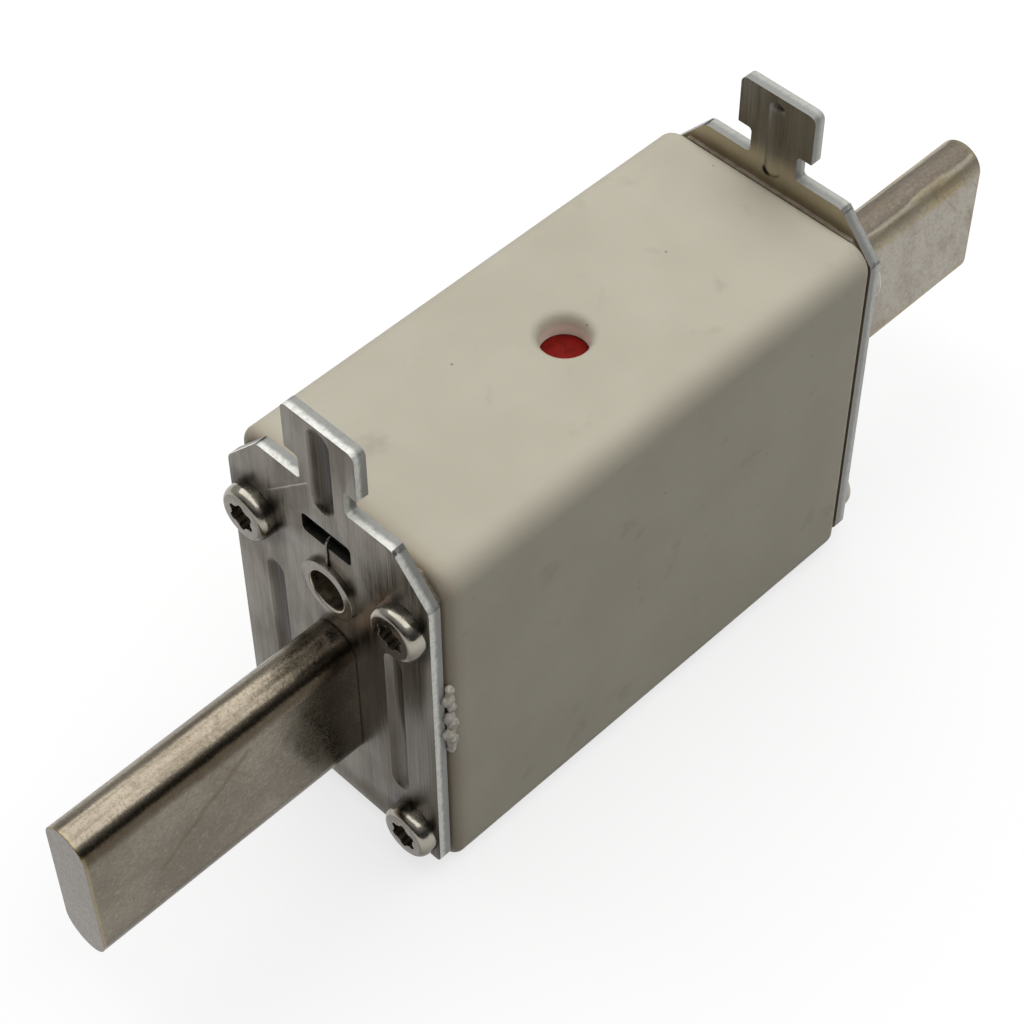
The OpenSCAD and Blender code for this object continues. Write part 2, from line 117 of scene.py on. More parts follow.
def linear(code):
    """A colour written in sRGB hex, such as BCB7A6, as the linear colour that Blender works in."""
    parts = [int(code[i : i + 2], 16) / 255 for i in (0, 2, 4)]
    return tuple(c / 12.92 if c <= 0.04045 else ((c + 0.055) / 1.055) ** 2.4 for c in parts) + (1.0,)


def colour_property(name, description, code):
    return bpy.props.FloatVectorProperty(
        name=name, description=description, default=linear(code), size=4, subtype="COLOR", min=0, max=1
    )


def length_property(name, description, millimetres):
    return bpy.props.FloatProperty(
        name=name,
        description=description,
        default=millimetres * MM,
        subtype="DISTANCE",
        unit="LENGTH",
        precision=5,
    )


class FuseSizes(bpy.types.PropertyGroup):
    edge_roll: length_property("Edge roll", "Rounding that the press leaves round a plate's outer face", 0.25)
    leaf_steps: bpy.props.IntProperty(
        name="Leaf steps", description="Stretches that the leaf spring bends in", default=40, min=8
    )
    cement_grain: length_property("Cement grain", "Mesh size of the cement lumps at the joint", 0.14)
    camera_distance: length_property("Camera distance", "From the camera to the blades' middle", 283.602)
    floor_size: length_property("Floor size", "Width of the pale floor", 6000)


class FuseColours(bpy.types.PropertyGroup):
    ceramic: colour_property("Ceramic", "Fired steatite, unglazed", "BAB4A2")
    ceramic_soil: colour_property("Ceramic soil", "Clouds and stains on the ceramic", "8E8674")
    # Painted shade on the ceramic next to the plates.
    ceramic_end_shade: colour_property("Ceramic end", "Grime at the ends of the ceramic", "8A765F")
    ceramic_speck: colour_property("Ceramic speck", "Iron specks in the ceramic", "5A5348")
    # Painted light on the wall of the indicator window.
    window_wall_light: colour_property("Window wall", "Clean ceramic inside the window", "F4ECDD")
    plate: colour_property("Plate", "Rolled aluminium, dulled", "7E7971")
    plate_dark: colour_property("Plate, dark", "Brown-grey smears on the rolled aluminium", "5C554B")
    line_bright: colour_property("Rolling line, bright", "Bright rolling lines", "A09A90")
    line_dark: colour_property("Rolling line, dark", "Dark rolling lines", "454038")
    # Painted shade on the plates' lower right, below the blade.
    plate_low_shade: colour_property("Plate, handled", "Browned plate below the blade", "4C463C")
    # Painted shadow and dark reflection of the screw heads on the plate round them.
    plate_ring_shade: colour_property("Plate, ring", "Soil round the screw heads", "2E2724")
    plate_scratch: colour_property("Plate, scratch", "Bright scratch on the front plate", "B9B4AB")
    # Painted reflection of the blade on the front plate.
    plate_blade_reflection: colour_property("Plate, rub", "Brown rub on the front plate", "96816F")
    # Soil in the pressed troughs, with painted shade on the side away from the light.
    plate_trough_soil_and_shade: colour_property("Plate, trough", "Soil in the pressed troughs", "221A14")
    # Painted reflection of the ceramic on the plates' inner faces, close over it.
    plate_inner_reflection: colour_property("Plate, inner face", "Clean inner face, close over the ceramic", "C2B7A0")
    # Painted shade on the inner faces of the lugs, higher up.
    plate_lug_shade: colour_property("Plate, inner lug", "Dull inner face of the lugs", "3A342A")
    plate_pit: colour_property("Plate, pit", "Small pit in the rear plate", "1E1A16")
    plate_edge: colour_property("Plate edge", "Torn bright half of a plate's sheared edge", "E4E4DD")
    plate_cut: colour_property("Plate cut", "Smooth grey half of a plate's sheared edge", "93938F")
    edge_speck: colour_property("Edge speck", "Dull specks on a sheared edge", "7F7E7A")
    edge_rear: colour_property("Edge, rear", "Sheared edge of the rear plate", "9C9C98")
    # Painted shade on the sheared edges of the indicator slot.
    edge_slot_shade: colour_property("Edge, slot", "Soiled edge of the indicator slot", "191815")
    silver: colour_property("Silver plate", "Tarnished silver plate on the blades", "6B6457")
    silver_bright: colour_property("Silver, bright", "Lighter clouds on the blades", "7C7568")
    silver_rear: colour_property("Silver, rear", "Less tarnished rear blade", "B6B0A5")
    silver_mottle: colour_property("Silver, mottle", "Brown mottles on the rear blade", "7C6D5A")
    silver_burnt: colour_property("Silver, burnt", "Rear blade's rounding, browned by heat", "B0A27E")
    # Painted highlight along the rear blade's rounding, beside its crest.
    silver_rear_highlight: colour_property("Silver, bare", "Bare strip beside the rear blade's crest", "D8D0BE")
    # Painted shade along the rear blade's crest, with a brown stain.
    silver_crest_shade_and_stain: colour_property("Silver, crest", "Dull crest of the rear blade", "756C62")
    silver_rubbed: colour_property("Silver, rubbed", "Front blade's rounding, rubbed bright", "9C9282")
    silver_stroke: colour_property("Silver, stroke", "Strokes left in the rubbed rounding", "5E5546")
    silver_fleck: colour_property("Silver, fleck", "Pale flecks on the blades", "B4AA98")
    # Painted dark reflection where a blade's flat side turns into its round edge.
    silver_reflection_band: colour_property("Silver, line", "Tarnish where flat side and rounding meet", "463A2C")
    silver_rim: colour_property("Silver, rim", "Yellowed rim at the blades' tips", "A8986F")
    silver_end: colour_property("Silver, end", "Sheared end faces of the blades", "60584C")
    silver_seam: colour_property("Silver, seam", "Dirt where a blade enters its plate", "3A3028")
    tarnish: colour_property("Tarnish", "Brown tarnish on the blades", "5F4F3C")
    copper_spot: colour_property("Copper spot", "Copper showing through the silver plate", "8A4A33")
    nickel: colour_property("Nickel plate", "Nickel plate on the screws and the plug", "A39E92")
    # Soil and painted shade on the flat faces of the screws and the plug.
    nickel_face_soil_and_shade: colour_property("Nickel, dark", "Soiled faces of the screws and the plug", "77716A")
    # Painted shade under the rims of the screws and the plug.
    nickel_underside_shade: colour_property("Nickel, grime", "Grime under the rims", "575148")
    # Painted shade inside the screw recesses, darker than their nickel.
    screw_recess_shade: colour_property("Screw recess", "Recesses of the screws", "7D7468")
    # Painted light inside the fill plug's cup, lighter than its nickel.
    plug_recess_light: colour_property("Plug recess", "Inside of the fill plug", "C4B9A7")
    gasket: colour_property("Gasket", "Fibre gasket, darkened at its edge", "8B8170")
    gasket_fibre: colour_property("Gasket fibre", "Darker fibres of the gasket", "736958")
    button: colour_property("Button", "Red indicator button", "7A130D")
    button_dark: colour_property("Button, dark", "Darker patches of the button", "68110B")
    carrier: colour_property("Carrier", "Black indicator carrier", "0E0E10")
    carrier_dust: colour_property("Carrier dust", "Dust on the carrier", "141415")
    copper: colour_property("Copper", "Punched copper strips", "B8714A")
    copper_dark: colour_property("Copper, dark", "Browned lines on the strips", "A05F3D")
    tin: colour_property("Tin", "Tin bars on the strips", "B9B9B8")
    tin_dark: colour_property("Tin, dark", "Duller patches of the tin", "9D9D9E")
    sand: colour_property("Sand", "Quartz sand", "CFC5AC")
    sand_dark: colour_property("Sand, dark", "Darker grains of the sand", "A89B7E")
    spring: colour_property("Spring", "Blued spring steel", "8D8A86")
    spring_dark: colour_property("Spring, dark", "Darker lines on the spring", "6E6B6C")
    wire: colour_property("Wire", "Drawn steel trip wire", "6B6761")
    wire_bright: colour_property("Wire, bright", "Scratches along the wire", "8E8A82")
    cement: colour_property("Cement", "Sealing cement pressed out of the joint", "D9D5C9")
    cement_dark: colour_property("Cement, dark", "Filler grains of the cement", "B5AF9F")
    floor: colour_property("Floor", "Matte part of the pale floor", "969696")


def deselect_all():
    for item in bpy.context.selected_objects:
        item.select_set(False)


def pick(item):
    """Makes item the only selected and the active object."""
    deselect_all()
    item.select_set(True)
    bpy.context.view_layer.objects.active = item


def add_node(tree, kind, *inputs, named=None, **settings):
    """Adds a shader node with its settings and links, and returns its first output.

    Inputs are values or the sockets that feed them, in the order of the node's own sockets or by name.
    """
    node = tree.nodes.new("ShaderNode" + kind)
    for name, value in settings.items():
        setattr(node, name, value)
    fed = list(zip([socket for socket in node.inputs if socket.enabled], inputs))
    fed += [(node.inputs[name], value) for name, value in (named or {}).items()]
    for socket, value in fed:
        if isinstance(value, bpy.types.NodeSocket):
            tree.links.new(value, socket)
        else:
            socket.default_value = value
    return next((socket for socket in node.outputs if socket.enabled), None)


def begin_material(name, base, metallic, roughness):
    """A new material: its tree, its shader and the Object coordinates that its patterns read."""
    material = bpy.data.materials.new(name)
    material.use_nodes = True
    tree = material.node_tree
    tree.nodes.clear()
    surface = add_node(
        tree, "BsdfPrincipled", named={"Base Color": base, "Metallic": metallic, "Roughness": roughness}
    )
    add_node(tree, "OutputMaterial", surface)
    place = add_node(tree, "TexCoord").node.outputs["Object"]
    return material, tree, surface.node, place


def feed(tree, shader, **sockets):
    """Links patterns to the shader's sockets, whose names are written with _ for a space."""
    for name, value in sockets.items():
        tree.links.new(value, shader.inputs[name.replace("_", " ")])


def grain(tree, place, size_mm, detail, stretch=(1.0, 1.0, 1.0), turn=(0.0, 0.0, 0.0)):
    """Noise whose grains are about size_mm across, drawn out by the factors in stretch."""
    scale = tuple(1 / (size_mm * MM * s) for s in stretch)
    spun = add_node(tree, "Mapping", named={"Vector": place, "Rotation": turn})
    moved = add_node(tree, "Mapping", named={"Vector": spun, "Scale": scale})
    return add_node(
        tree, "TexNoise", named={"Vector": moved, "Scale": 1.0, "Detail": detail, "Roughness": 0.55}
    )


def weighted(tree, *parts):
    """The sum of patterns, each given with its weight."""
    total = None
    for pattern, weight in parts:
        part = pattern if weight == 1 else add_node(tree, "Math", pattern, weight, **TIMES)
        total = add_node(tree, "Math", total, part, **PLUS) if total else part
    return total


def painted(tree, base, *layers):
    """Lays colours over base in turn; each comes with the masks whose product says how much of it shows."""
    for colour, cover, *masks in layers:
        for mask in masks:
            cover = add_node(tree, "Math", cover, mask, **TIMES)
        base = add_node(tree, "Mix", cover, base, colour, **COLOUR)
    return base


def from_axis(tree, y, z, axes):
    """Distance from the nearest of four axes along X; axes is their y, and the middle and half step of z."""
    axis_y, middle_z, half_step = axes
    level = add_node(tree, "Math", z, middle_z, **MINUS)
    dy = add_node(tree, "Math", add_node(tree, "Math", y, **UNSIGNED), axis_y, **MINUS)
    dz = add_node(tree, "Math", add_node(tree, "Math", level, **UNSIGNED), half_step, **MINUS)
    return add_node(tree, "Math", weighted(tree, (dy, dy), (dz, dz)), operation="SQRT")


def above_axis(tree, z, axes):
    """Height above the nearest of four axes along X, negative below it."""
    _, middle_z, half_step = axes
    level = add_node(tree, "Math", z, middle_z, **MINUS)
    beyond = add_node(tree, "Math", add_node(tree, "Math", level, **UNSIGNED), half_step, **MINUS)
    return add_node(tree, "Math", beyond, add_node(tree, "Math", level, operation="SIGN"), **TIMES)


def mark(tree, place, u, v, start, end, half_width):
    """A soft, slightly wavy line on the plane of u and v; its ends and half width are in millimetres."""
    length = math.hypot(end[0] - start[0], end[1] - start[1])
    along_u, along_v = (end[0] - start[0]) / length, (end[1] - start[1]) / length
    from_u = add_node(tree, "Math", u, start[0] * MM, **MINUS)
    from_v = add_node(tree, "Math", v, start[1] * MM, **MINUS)
    ahead = weighted(tree, (from_u, along_u), (from_v, along_v))
    wave = add_node(tree, "Math", grain(tree, place, 2.5, 3), 0.5, **MINUS)
    aside = weighted(tree, (from_v, along_u), (from_u, -along_v), (wave, 1.6 * half_width * MM))
    off = add_node(tree, "Math", aside, **UNSIGNED)
    line = add_node(tree, "MapRange", off, half_width * MM, 0.3 * half_width * MM, 0.0, 0.55, **SMOOTH)
    begun = add_node(tree, "MapRange", ahead, 0.0, half_width * MM, **SMOOTH)
    not_over = add_node(tree, "MapRange", ahead, length * MM, (length - half_width) * MM, **SMOOTH)
    ends = add_node(tree, "Math", begun, not_over, **TIMES)
    return add_node(tree, "Math", line, ends, **TIMES)


def facing(tree, axis):
    """How squarely the surface faces along an axis, either way: 0 to 1."""
    normal = add_node(tree, "NewGeometry").node.outputs["True Normal"]
    part = add_node(tree, "SeparateXYZ", normal).node.outputs[axis]
    return add_node(tree, "Math", part, **UNSIGNED)


def soft_normal(tree, height, depth_mm, edge_mm=0.0):
    """Surface normal from a height pattern depth_mm deep, over edges worn round by edge_mm."""
    inputs = {"Height": height, "Strength": 1.0, "Distance": depth_mm * MM}
    if edge_mm:
        inputs["Normal"] = add_node(tree, "Bevel", edge_mm * MM, samples=4)
    return add_node(tree, "Bump", named=inputs)


def steatite(colours):
    """Steatite, pressed and fired, unglazed: matte warm grey, with fine specks, faint handling stains,
    painted shade at its ends and painted light on the window's wall.
    """
    material, tree, shader, place = begin_material("steatite_unglazed", colours.ceramic, 0.0, 0.62)
    x, y, z = add_node(tree, "SeparateXYZ", place).node.outputs
    cloud = add_node(tree, "MapRange", grain(tree, place, 14, 2), 0.35, 0.68, 0.0, 0.15, **SMOOTH)
    patches = grain(tree, place, 6, 4, turn=(0.4, 0.2, 0.7))
    stain = add_node(tree, "MapRange", patches, 0.6, 0.74, 0.0, 0.3, **SMOOTH)
    # Painted shade on the ceramic next to each plate, wider at the front plate.
    front_end_shade = add_node(tree, "MapRange", x, -CERAMIC_X + 2.6 * MM, -CERAMIC_X, 0.0, 0.45, **SMOOTH)
    rear_end_shade = add_node(tree, "MapRange", x, CERAMIC_X - 0.8 * MM, CERAMIC_X, 0.0, 0.3, **SMOOTH)
    cells = add_node(tree, "TexVoronoi", place, 1 / (3.4 * MM)).node.outputs
    few = add_node(tree, "MapRange", add_node(tree, "SeparateColor", cells["Color"]), 0.55, 0.56, **SMOOTH)
    dot = add_node(tree, "MapRange", cells["Distance"], 0.055, 0.03, **SMOOTH)
    speck = add_node(tree, "Math", dot, few, **TIMES)
    # The wall of the window is painted lighter: painted light that lifts the shade inside the hole.
    from_window = add_node(tree, "VectorMath", add_node(tree, "CombineXYZ", x, y), operation="LENGTH")
    in_window = add_node(tree, "MapRange", from_window, 3.8 * MM, 3.2 * MM, **SMOOTH)
    deep = add_node(tree, "MapRange", z, CERAMIC_TOP - 0.4 * MM, CERAMIC_TOP - 1.8 * MM, **SMOOTH)
    body = painted(
        tree,
        colours.ceramic,
        (colours.ceramic_soil, weighted(tree, (cloud, 1), (stain, 1))),
        (colours.ceramic_end_shade, front_end_shade),
        (colours.ceramic_end_shade, rear_end_shade),
        (colours.ceramic_speck, speck, 0.6),
        (colours.window_wall_light, in_window, deep),
    )
    fine = grain(tree, place, 0.35, 3)
    feed(
        tree,
        shader,
        Base_Color=body,
        Roughness=add_node(tree, "MapRange", fine, 0.3, 0.7, 0.56, 0.7, **SMOOTH),
        Normal=soft_normal(tree, weighted(tree, (fine, 0.5), (speck, -1)), 0.03),
    )
    return material


def plate_face(tree, colours, place, depth, front, lines, smear):
    """Colour of a plate's two faces; depth goes in from the outer face, and front is 1 on the front plate."""
    _, y, z = add_node(tree, "SeparateXYZ", place).node.outputs
    tone = weighted(tree, (grain(tree, place, 1.1, 2, stretch=(1, 1, 22)), 0.3), (smear, 0.9))
    # Where painted shade darkens the plates towards their lower right, below the blade.
    beside = add_node(tree, "MapRange", y, 2 * MM, -12 * MM, 0.0, 0.75, **SMOOTH)
    below = add_node(tree, "MapRange", z, 40 * MM, 22 * MM, **SMOOTH)
    # Painted shadow and dark reflection of the heads, round each screw.
    ring = add_node(
        tree, "MapRange", from_axis(tree, y, z, SCREW_AXES), 5.4 * MM, 3.2 * MM, 0.0, 0.8, **SMOOTH
    )
    scratch = mark(tree, place, y, z, (8.5, 45.0), (2.1, 51.3), 0.12)
    # A painted reflection of the blade, drawn as a broad warm streak on the front plate.
    blade_reflection = mark(tree, place, y, z, (-3.5, 33.2), (-9.4, 44.4), 1.5)
    # Each bead's trough holds soil, and painted shade makes it darker on the side that lies away from the
    # light, the far bead less.
    bead = add_node(tree, "Math", add_node(tree, "Math", y, operation="SIGN"), BEAD_Y, **TIMES)
    at_beads = add_node(tree, "Math", z, SLOT_Z, operation="LESS_THAN")
    from_trough = add_node(tree, "Math", y, add_node(tree, "Math", bead, at_beads, **TIMES), **MINUS)
    shaded_side = add_node(tree, "MapRange", from_trough, 1.5 * MM, -0.5 * MM, 0.45, 0.96, **SMOOTH)
    sunk = add_node(tree, "MapRange", depth, 0.05 * MM, 0.3 * MM, **SMOOTH)
    inner = add_node(tree, "MapRange", depth, 0.9 * MM, 1.3 * MM, **SMOOTH)
    far_less = add_node(tree, "MapRange", y, -4 * MM, -6 * MM, 1.0, 0.35, **SMOOTH)
    pit = add_node(tree, "VectorMath", place, PIT, operation="DISTANCE")
    return painted(
        tree,
        colours.plate,
        (colours.plate_dark, add_node(tree, "MapRange", tone, 0.45, 0.75, **SMOOTH)),
        (colours.line_bright, add_node(tree, "MapRange", lines, 0.52, 0.72, 0.0, 0.3, **SMOOTH)),
        (colours.line_dark, add_node(tree, "MapRange", lines, 0.44, 0.28, 0.0, 0.5, **SMOOTH)),
        (colours.plate_low_shade, beside, below),
        (colours.plate_ring_shade, ring),
        (colours.plate_scratch, scratch, front),
        (colours.plate_blade_reflection, blade_reflection, front),
        (colours.plate_trough_soil_and_shade, sunk, shaded_side, add_node(tree, "Math", far_less, inner, **MINUS)),
        # Painted reflection of the ceramic on the inner faces, low down close over it.
        (
            colours.plate_inner_reflection,
            inner,
            add_node(tree, "MapRange", z, 53.5 * MM, 50.5 * MM, 0.0, 0.85, **SMOOTH),
        ),
        # Painted shade on the inner faces, higher up the lugs.
        (
            colours.plate_lug_shade,
            inner,
            add_node(tree, "MapRange", z, 52.5 * MM, 55 * MM, 0.0, 0.35, **SMOOTH),
        ),
        (colours.plate_pit, add_node(tree, "MapRange", pit, 0.85 * MM, 0.5 * MM, **SMOOTH)),
    )


def plate_edge(tree, colours, place, depth, front):
    """Colour of a plate's sheared edge: torn and bright on the outer half, cut smooth on the inner one."""
    _, y, z = add_node(tree, "SeparateXYZ", place).node.outputs
    ragged = weighted(tree, (depth, 1), (grain(tree, place, 0.7, 3), 0.5 * MM))
    specks = add_node(tree, "MapRange", grain(tree, place, 0.45, 4), 0.45, 0.7, 0.0, 0.3, **SMOOTH)
    aside = add_node(tree, "Math", y, **UNSIGNED)
    return painted(
        tree,
        colours.plate_edge,
        (colours.plate_cut, add_node(tree, "MapRange", ragged, 0.6 * MM, 1.2 * MM, **SMOOTH)),
        (colours.edge_speck, specks),
        (colours.edge_rear, add_node(tree, "Math", 1.0, front, **MINUS), 0.55),
        # Painted shade on the sheared edges in the middle strip up to the slot's top, which takes in the
        # slot's walls.
        (
            colours.edge_slot_shade,
            add_node(tree, "MapRange", aside, 4.4 * MM, 4.0 * MM, **SMOOTH),
            add_node(tree, "MapRange", z, 46.6 * MM, 46.3 * MM, **SMOOTH),
        ),
    )


def rolled_aluminium(colours):
    """Aluminium sheet, rolled and dulled: upright rolling lines, brown smears, bright sheared edges."""
    material, tree, shader, place = begin_material("rolled_aluminium", colours.plate, 1.0, 0.38)
    x = add_node(tree, "SeparateXYZ", place)
    depth = add_node(tree, "Math", FACE_X, add_node(tree, "Math", x, **UNSIGNED), **MINUS)
    front = add_node(tree, "MapRange", x, 1 * MM, -1 * MM, **SMOOTH)
    lines = grain(tree, place, 0.22, 2, stretch=(1, 1, 60))
    smear = grain(tree, place, 5, 4, stretch=(1, 0.8, 2.4))
    face = plate_face(tree, colours, place, depth, front, lines, smear)
    edge = plate_edge(tree, colours, place, depth, front)
    sheared = add_node(tree, "MapRange", facing(tree, 0), 0.75, 0.45, **SMOOTH)
    satin = add_node(tree, "MapRange", lines, 0.3, 0.7, 0.28, 0.44, **SMOOTH)
    feed(
        tree,
        shader,
        Base_Color=painted(tree, face, (edge, sheared)),
        # A sheared edge is torn fine, so it scatters like frost.
        Metallic=add_node(tree, "MapRange", sheared, 0.0, 1.0, 1.0, 0.35, **SMOOTH),
        Roughness=weighted(tree, (satin, 1), (sheared, 0.15)),
        Normal=soft_normal(tree, weighted(tree, (lines, 0.7), (smear, 0.6)), 0.035),
    )
    return material


def rear_blade_layers(tree, colours, place, rise, rear):
    """Layers of the rear blade: pale and mottled, with a browned rounding, a painted highlight strip beside
    the crest, and painted shade with a brown stain on the crest.
    """
    mottles = grain(tree, place, 3.4, 4, stretch=(1, 1, 2.4), turn=(0.0, 0.5, 0.0))
    mottle = add_node(tree, "MapRange", mottles, 0.42, 0.7, 0.0, 0.34, **SMOOTH)
    heat = grain(tree, place, 2.6, 4, stretch=(2.5, 1, 1))
    burnt = add_node(tree, "MapRange", heat, 0.4, 0.62, 0.3, 0.9, **SMOOTH)
    turning = add_node(tree, "MapRange", rise, 6.6 * MM, 7.8 * MM, **SMOOTH)
    cross_grain = grain(tree, place, 1.1, 4, stretch=(6, 1, 1))
    patchy = add_node(tree, "MapRange", cross_grain, 0.36, 0.6, 0.25, 1.0, **SMOOTH)
    jagged_rise = weighted(tree, (rise, 1), (add_node(tree, "Math", patchy, 0.6, **MINUS), 0.3 * MM))
    # Painted highlight in a broken strip beside the rear blade's crest.
    highlight_strip = add_node(tree, "MapRange", jagged_rise, 8.95 * MM, 9.35 * MM, 0.0, 0.75, **SMOOTH)
    # Painted shade and a brown stain along the rear blade's crest.
    crest = add_node(tree, "MapRange", jagged_rise, 9.4 * MM, 9.7 * MM, 0.0, 0.85, **SMOOTH)
    return (
        (colours.silver_rear, rear, 0.9),
        (colours.silver_mottle, rear, mottle),
        (colours.silver_burnt, rear, turning, burnt),
        (colours.silver_rear_highlight, rear, highlight_strip, patchy),
        (colours.silver_crest_shade_and_stain, rear, crest),
    )


def front_blade_layers(tree, colours, place, rise, front):
    """Layers of the front blade: the switch's contacts have rubbed its round edge bright and left strokes."""
    rubbed = add_node(tree, "MapRange", rise, 8.4 * MM, 9.2 * MM, 0.0, 0.8, **SMOOTH)
    strokes = grain(tree, place, 0.7, 3, stretch=(12, 1, 1))
    return (
        (colours.silver_rubbed, front, rubbed),
        (
            colours.silver_stroke,
            front,
            rubbed,
            add_node(tree, "MapRange", strokes, 0.42, 0.66, 0.0, 0.55, **SMOOTH),
        ),
    )


def tarnished_silver(colours):
    """Silver plate on copper, tarnished: warm satin grey, browner along the rounding with a painted dark
    reflection there, and copper spots.
    """
    material, tree, shader, place = begin_material("tarnished_silver_plate", colours.silver, 1.0, 0.28)
    x, y, z = add_node(tree, "SeparateXYZ", place).node.outputs
    out = add_node(tree, "Math", x, **UNSIGNED)
    rise = add_node(tree, "Math", add_node(tree, "Math", z, BLADE_AXIS_Z, **MINUS), **UNSIGNED)
    rear = add_node(tree, "MapRange", x, -1 * MM, 1 * MM, **SMOOTH)
    front = add_node(tree, "Math", 1.0, rear, **MINUS)
    clouds = grain(tree, place, 9, 3, turn=(0.0, 0.7, 0.2))
    broad = add_node(tree, "MapRange", clouds, 0.38, 0.66, **SMOOTH)
    streaks = grain(tree, place, 1.8, 3, stretch=(1, 1, 9), turn=(0.0, 0.62, 0.0))
    streak = add_node(tree, "MapRange", streaks, 0.6, 0.72, 0.0, 0.6, **SMOOTH)
    fleck = grain(tree, place, 0.4, 3)
    dark_fleck = add_node(tree, "MapRange", fleck, 0.53, 0.68, 0.0, 0.3, **SMOOTH)
    pale_fleck = add_node(tree, "MapRange", fleck, 0.42, 0.3, 0.0, 0.22, **SMOOTH)
    dust = add_node(tree, "MapRange", grain(tree, place, 0.16, 2), 0.56, 0.68, 0.0, 0.6, **SMOOTH)
    # On the front blade a brown run crosses the near side, and a short smear lies by the plate.
    near = add_node(tree, "MapRange", y, -1 * MM, -2 * MM, **SMOOTH)
    run = mark(tree, place, x, z, (-60.6, 18.7), (-47.5, 27.0), 0.55)
    smear = mark(tree, place, x, z, (-41.1, 25.4), (-38.3, 24.6), 0.7)
    # Painted dark reflection, as a brown band where the flat side turns into the round edge.
    wander = add_node(tree, "Math", grain(tree, place, 4, 3, stretch=(3, 1, 1)), 0.5, **MINUS)
    turned = weighted(tree, (rise, 1), (wander, 1.6 * MM))
    cells = add_node(tree, "TexVoronoi", place, 1 / (5.5 * MM)).node.outputs
    chance = add_node(tree, "SeparateColor", cells["Color"]).node.outputs["Green"]
    seam = weighted(tree, (out, 1), (fleck, 0.3 * MM))
    base = painted(
        tree,
        colours.silver,
        (colours.silver_bright, broad),
        *rear_blade_layers(tree, colours, place, rise, rear),
        *front_blade_layers(tree, colours, place, rise, front),
        (colours.tarnish, streak, broad),
        (colours.tarnish, dark_fleck, add_node(tree, "MapRange", rear, 0.0, 1.0, 1.0, 0.5, **SMOOTH)),
        (colours.silver_fleck, pale_fleck),
        (colours.tarnish, dust, add_node(tree, "MapRange", rear, 0.0, 1.0, 1.0, 0.4, **SMOOTH)),
        (colours.tarnish, near, front, add_node(tree, "Math", run, smear, operation="MAXIMUM")),
        # Painted dark reflection along the turn into the round edge, faint on the rear blade.
        (
            colours.silver_reflection_band,
            add_node(tree, "MapRange", turned, 6.4 * MM, 8.0 * MM, **SMOOTH),
            add_node(tree, "MapRange", turned, 9.5 * MM, 8.7 * MM, **SMOOTH),
            add_node(tree, "MapRange", rear, 0.0, 1.0, 0.72, 0.1, **SMOOTH),
        ),
        (
            colours.copper_spot,
            add_node(tree, "MapRange", cells["Distance"], 0.08, 0.04, **SMOOTH),
            add_node(tree, "MapRange", chance, 0.6, 0.62, **SMOOTH),
            0.7,
        ),
        (
            colours.silver_rim,
            add_node(tree, "MapRange", out, BLADE_TIP - 0.5 * MM, BLADE_TIP - 0.1 * MM, 0.0, 0.45, **SMOOTH),
        ),
        (colours.silver_end, add_node(tree, "MapRange", facing(tree, 0), 0.9, 0.98, **SMOOTH)),
        (
            colours.silver_seam,
            add_node(tree, "MapRange", seam, FACE_X + 0.3 * MM, FACE_X + 0.18 * MM, 0.0, 0.8, **SMOOTH),
        ),
    )
    satin = add_node(tree, "MapRange", fleck, 0.35, 0.65, 0.19, 0.29, **SMOOTH)
    feed(
        tree,
        shader,
        Base_Color=base,
        Roughness=weighted(tree, (satin, 1), (rear, 0.32)),
        Normal=soft_normal(tree, weighted(tree, (fleck, 0.3), (broad, 1)), 0.03, 0.25),
    )
    return material


def nickel_plate(name, colours, axes, recess, recess_radius, edge_mm):
    """Nickel plate on steel, barrel polished: bright rims with painted shade under them, flat faces with soil
    and painted shade, and a recess of its own tone.
    """
    material, tree, shader, place = begin_material(name, colours.nickel, 1.0, 0.2)
    x, y, z = add_node(tree, "SeparateXYZ", place).node.outputs
    radius = from_axis(tree, y, z, axes)
    out = add_node(tree, "Math", x, **UNSIGNED)
    patch = grain(tree, place, 0.8, 4)
    # Faces that face along X take soil and painted shade.
    level = add_node(tree, "MapRange", facing(tree, 0), 0.8, 0.97, **SMOOTH)
    soiled = add_node(tree, "MapRange", patch, 0.3, 0.6, 0.8, 1.0, **SMOOTH)
    flat = add_node(tree, "Math", level, soiled, **TIMES)
    # The flat face of the head isn't part of the recess, though it lies in the same radius.
    at_face = add_node(tree, "MapRange", out, FACE_X, FACE_X + 0.2 * MM, **SMOOTH)
    sides = add_node(tree, "Math", 1.0, add_node(tree, "Math", flat, at_face, **TIMES), **MINUS)
    within = add_node(tree, "MapRange", radius, recess_radius, recess_radius - 0.12 * MM, **SMOOTH)
    inside = add_node(tree, "Math", within, sides, **TIMES)
    streaks = grain(tree, place, 0.22, 3, stretch=(12, 1, 1))
    streak = add_node(tree, "MapRange", streaks, 0.3, 0.7, 0.0, 0.6, **SMOOTH)
    # Painted shade on the underside of the rims, below each axis.
    rim = add_node(tree, "MapRange", radius, recess_radius + 0.5 * MM, recess_radius + 0.8 * MM, **SMOOTH)
    under = add_node(tree, "MapRange", above_axis(tree, z, axes), 1.2 * MM, -1.2 * MM, **SMOOTH)
    satin = add_node(tree, "MapRange", patch, 0.35, 0.7, 0.14, 0.28, **SMOOTH)
    feed(
        tree,
        shader,
        Base_Color=painted(
            tree,
            colours.nickel,
            (colours.nickel_face_soil_and_shade, flat),
            # The recess takes its own tone: painted shade in the screws, painted light in the plug.
            (painted(tree, recess, (colours.nickel, streak)), inside),
            (colours.nickel_underside_shade, rim, under),
        ),
        Roughness=weighted(tree, (satin, 1), (inside, 0.12)),
        Normal=soft_normal(tree, grain(tree, place, 0.3, 2), 0.008, edge_mm),
    )
    return material


